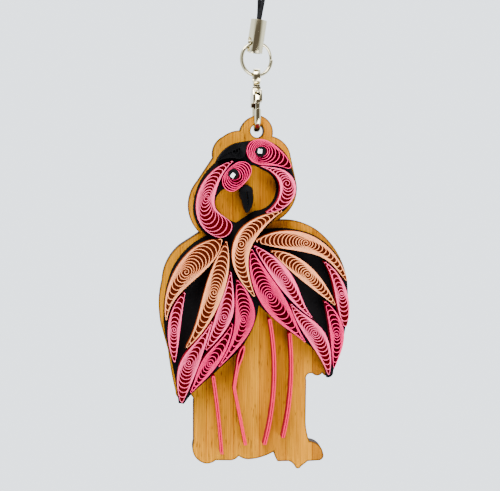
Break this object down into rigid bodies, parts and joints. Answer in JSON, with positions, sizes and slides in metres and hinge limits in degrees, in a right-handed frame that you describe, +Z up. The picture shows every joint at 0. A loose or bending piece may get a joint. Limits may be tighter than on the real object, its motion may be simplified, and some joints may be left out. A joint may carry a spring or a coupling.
{
  "type": "quilled paper charm",
  "caption": "Hanging charm of quilled paper flamingos on a bamboo plate, with a lobster clasp, split ring, end cap and cord loop.",
  "frame": {"origin": "top of the cord loop, at the middle of the cord, where it hangs on a hook or a branch", "axes": "+Z up, the paper faces -Y, +X to the viewer's right"},
  "size_m": [0.04, 0.0091, 0.1401],
  "materials": {
    "bamboo": "golden brown bamboo board, oiled, with dark laser-cut edges",
    "black_card": "matt black card",
    "peach_paper": "uncoated peach quilling paper",
    "light_pink_paper": "uncoated light pink quilling paper",
    "deep_pink_paper": "uncoated deep pink quilling paper",
    "black_paper": "black quilling paper under clear varnish",
    "white_paper": "white paper",
    "black_cord": "braided black cord",
    "chrome_hardware": "bright nickel plating",
    "steel_pin": "plain steel",
    "spring_steel": "spring steel strip"
  },
  "bodies": {
    "root": {"cord_loop": "black_cord", "cord_knot": "black_cord", "cord_cap": "chrome_hardware"},
    "ring": {"split_ring": "chrome_hardware"},
    "clasp": {"clasp_body": "chrome_hardware", "lever_pin": "steel_pin", "lever_spring": "spring_steel"},
    "lever": {"clasp_lever": "chrome_hardware"},
    "charm": {"bamboo_plate": "bamboo", "card_backing": "black_card", "left_wing_coil_1": "peach_paper", "left_wing_coil_2": "light_pink_paper", "left_wing_coil_3": "peach_paper", "left_wing_coil_4": "light_pink_paper", "left_wing_coil_5": "deep_pink_paper", "left_wing_coil_6": "light_pink_paper", "left_wing_coil_7": "deep_pink_paper", "right_wing_coil_1": "peach_paper", "right_wing_coil_2": "peach_paper", "right_wing_coil_3": "light_pink_paper", "right_wing_coil_4": "deep_pink_paper", "right_wing_coil_5": "light_pink_paper", "right_wing_coil_6": "deep_pink_paper", "right_wing_coil_7": "light_pink_paper", "left_neck_coil": "light_pink_paper", "right_neck_upper_coil": "light_pink_paper", "right_neck_lower_coil": "peach_paper", "left_head_coil": "deep_pink_paper", "right_head_coil": "deep_pink_paper", "left_beak_coil": "black_paper", "right_beak_coil": "black_paper", "left_eye": "black_paper", "right_eye": "black_paper", "left_eye_highlight": "white_paper", "right_eye_highlight": "white_paper", "leg_1": "deep_pink_paper", "leg_2": "deep_pink_paper", "leg_3": "deep_pink_paper", "leg_4": "deep_pink_paper"}
  },
  "joints": [
    {"name": "ring_swing", "type": "hinge", "parent": "root", "child": "ring", "pos_m": [-0.00155, 0, -0.04964], "axis": [0.9397, 0.342, 0], "range_deg": [-35, 35]},
    {"name": "clasp_swing", "type": "hinge", "parent": "ring", "child": "clasp", "pos_m": [-0.00155, 0, -0.05644], "axis": [0.9397, 0.342, 0], "range_deg": [-35, 35]},
    {"name": "lever_press", "type": "hinge", "parent": "clasp", "child": "lever", "pos_m": [-0.00155, -0.0013, -0.06044], "axis": [1, 0, 0], "range_deg": [0, 25], "stiffness_Nm_per_rad": 0.002, "springref_deg": -5.73, "deforming": ["lever_spring"]},
    {"name": "plate_swing", "type": "hinge", "parent": "clasp", "child": "charm", "pos_m": [-0.00155, 0, -0.06749], "axis": [0, 1, 0], "range_deg": [-75, 75]}
  ]
}
